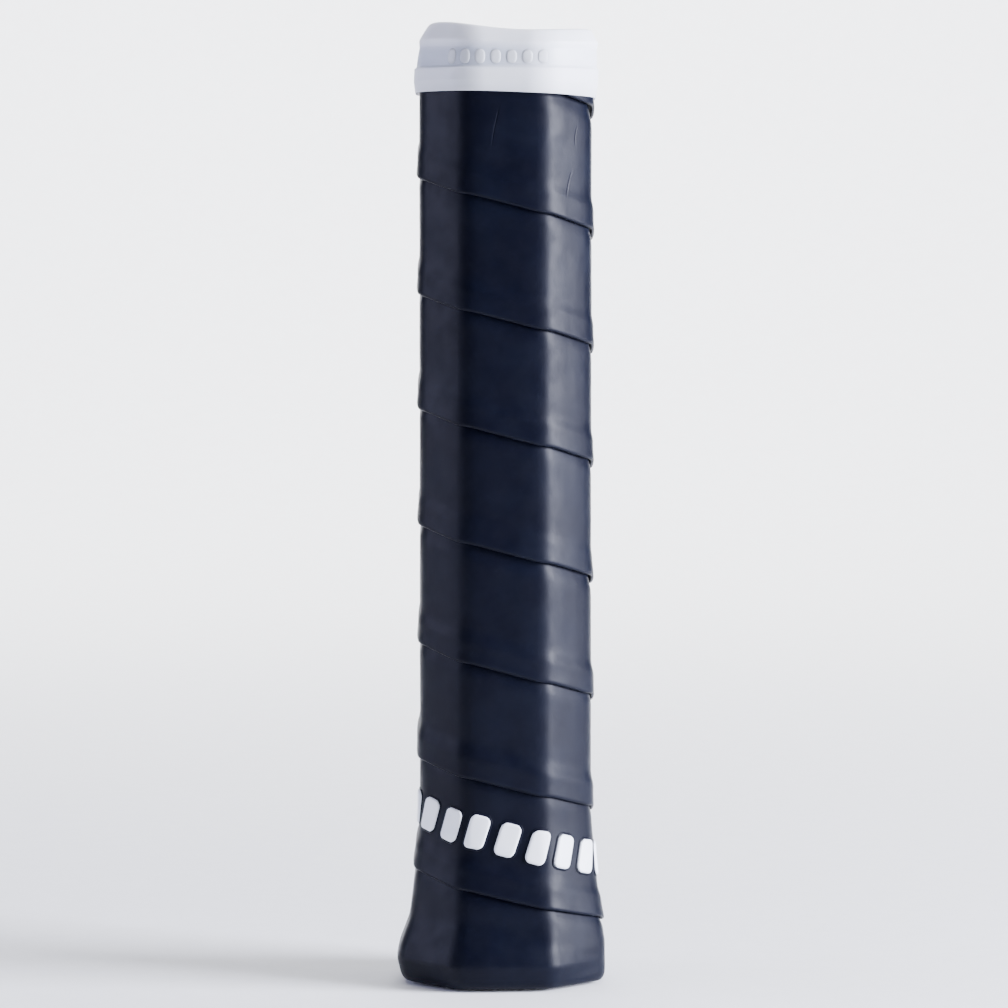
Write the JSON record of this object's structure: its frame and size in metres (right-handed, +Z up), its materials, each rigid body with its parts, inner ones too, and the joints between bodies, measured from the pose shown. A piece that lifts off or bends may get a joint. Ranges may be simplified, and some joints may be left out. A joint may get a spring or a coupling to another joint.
{
  "type": "tennis racket handle with wound grip tape",
  "caption": "Octagonal racket handle wound with cushioned grip tape, flared butt cap with a trap door, and a rubber collar at the tape's end.",
  "frame": {"origin": "on the handle's axis, at the underside of the butt", "axes": "+Z up along the handle from the butt to the collar; the wide faces of the octagon look to -Y and +Y"},
  "size_m": [0.042, 0.0391, 0.1963],
  "materials": {
    "carbon": "bare carbon fibre laminate, satin",
    "pallet_foam": "moulded rigid polyurethane foam, skin side out",
    "cap_plastic": "injection moulded nylon, fine texture",
    "staple_steel": "galvanised wire",
    "cushion_foam": "open foamed backing",
    "grip_polyurethane": "smooth black polyurethane skin, satin gloss",
    "white_relief": "raised white polyurethane",
    "vinyl_strip": "stretched black vinyl tape",
    "collar_silicone": "translucent white silicone rubber"
  },
  "bodies": {
    "handle": {"frame_leg_left": "carbon", "frame_leg_right": "carbon", "binding_ply": "carbon", "pallet_front": "pallet_foam", "pallet_back": "pallet_foam", "butt_cap": "cap_plastic", "butt_cap_staples": "staple_steel", "grip_cushion": "cushion_foam", "grip_skin": "grip_polyurethane", "raised_mark": "white_relief", "grip_staple": "staple_steel", "finishing_tape": "vinyl_strip"},
    "collar": {"rubber_collar": "collar_silicone"},
    "door": {"trap_door": "cap_plastic"}
  },
  "joints": [
    {"name": "collar_slide", "type": "slide", "parent": "handle", "child": "collar", "axis": [0, 0, 1], "range_m": [0, 0.018]},
    {"name": "trap_door_pull", "type": "slide", "parent": "handle", "child": "door", "axis": [0, 0, -1], "range_m": [0, 0.012]}
  ]
}
